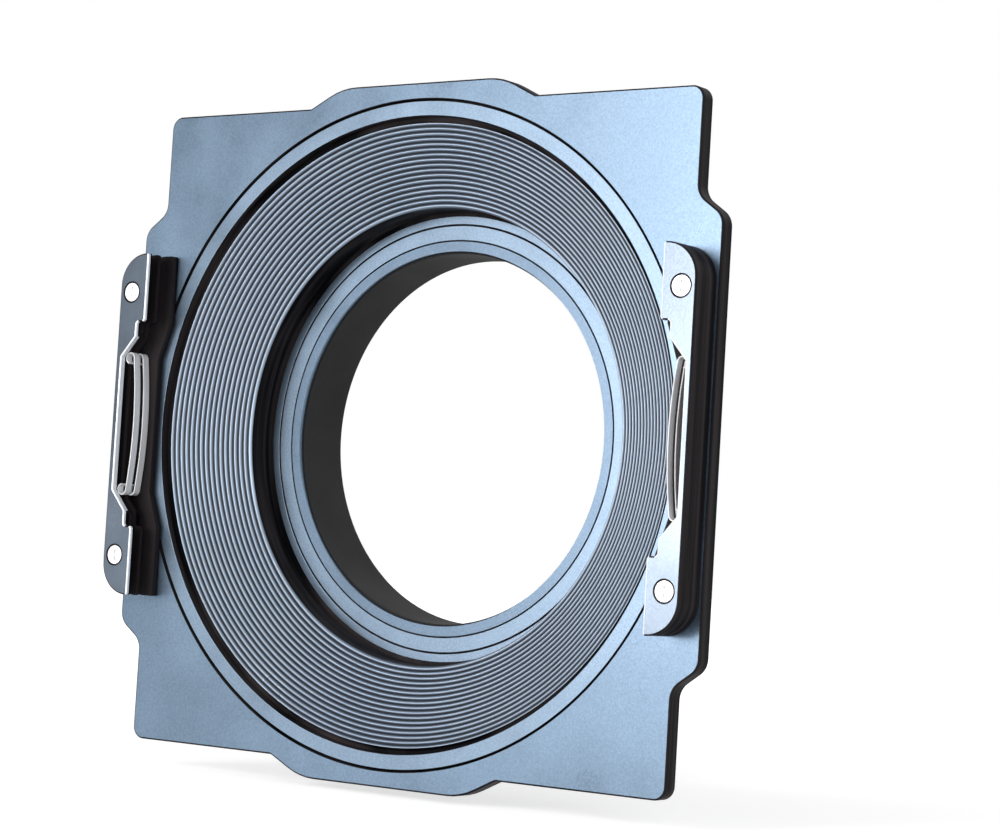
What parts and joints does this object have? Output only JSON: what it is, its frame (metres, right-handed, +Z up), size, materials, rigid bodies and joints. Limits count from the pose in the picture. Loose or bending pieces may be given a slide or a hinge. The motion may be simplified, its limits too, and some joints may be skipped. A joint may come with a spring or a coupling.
{
  "type": "square filter holder",
  "caption": "Stepped square plate with two slotted rails for square filters, turning on a ribbed funnel that clamps round a wide lens.",
  "frame": {"origin": "centre of the lens bore's rear mouth", "axes": "+Y backwards along the optical axis towards the camera, +Z up, +X to the right seen from the front; the filters' side faces -Y"},
  "size_m": [0.1628, 0.0424, 0.1596],
  "materials": {
    "plate_metal": "dark anodised, blasted satin",
    "rail_metal": "dark anodised satin with bright chamfers",
    "funnel_metal": "dark anodised, turned",
    "rear_metal": "black anodised satin",
    "screw_steel": "bright",
    "spring_steel": "satin spring strip",
    "glide_plastic": "low-friction plastic",
    "liner_felt": "black felt"
  },
  "bodies": {
    "adapter": {"funnel": "funnel_metal", "glide_ring": "glide_plastic", "retaining_ring": "rear_metal", "retaining_screws": "screw_steel", "seat_ring": "funnel_metal", "lens_collet": "funnel_metal", "collet_liner": "liner_felt"},
    "frame": {"frame_plate": "plate_metal", "rail_screws": "screw_steel", "base_strip_left": "rail_metal", "rear_spacer_left": "rail_metal", "divider_left": "rail_metal", "front_spacer_left": "rail_metal", "cover_left": "rail_metal", "rear_spring_left": "spring_steel", "front_spring_left": "spring_steel", "base_strip_right": "rail_metal", "rear_spacer_right": "rail_metal", "divider_right": "rail_metal", "front_spacer_right": "rail_metal", "cover_right": "rail_metal", "rear_spring_right": "spring_steel", "front_spring_right": "spring_steel"},
    "clamp": {"clamp_ring": "rear_metal"}
  },
  "joints": [
    {"name": "frame_rotation", "type": "hinge", "parent": "adapter", "child": "frame", "pos_m": [0, -0.03, 0], "axis": [0, 1, 0], "continuous": true},
    {"name": "clamp_turn", "type": "hinge", "parent": "adapter", "child": "clamp", "pos_m": [0, -0.007, 0], "axis": [0, 1, 0], "range_deg": [0, 90]}
  ]
}
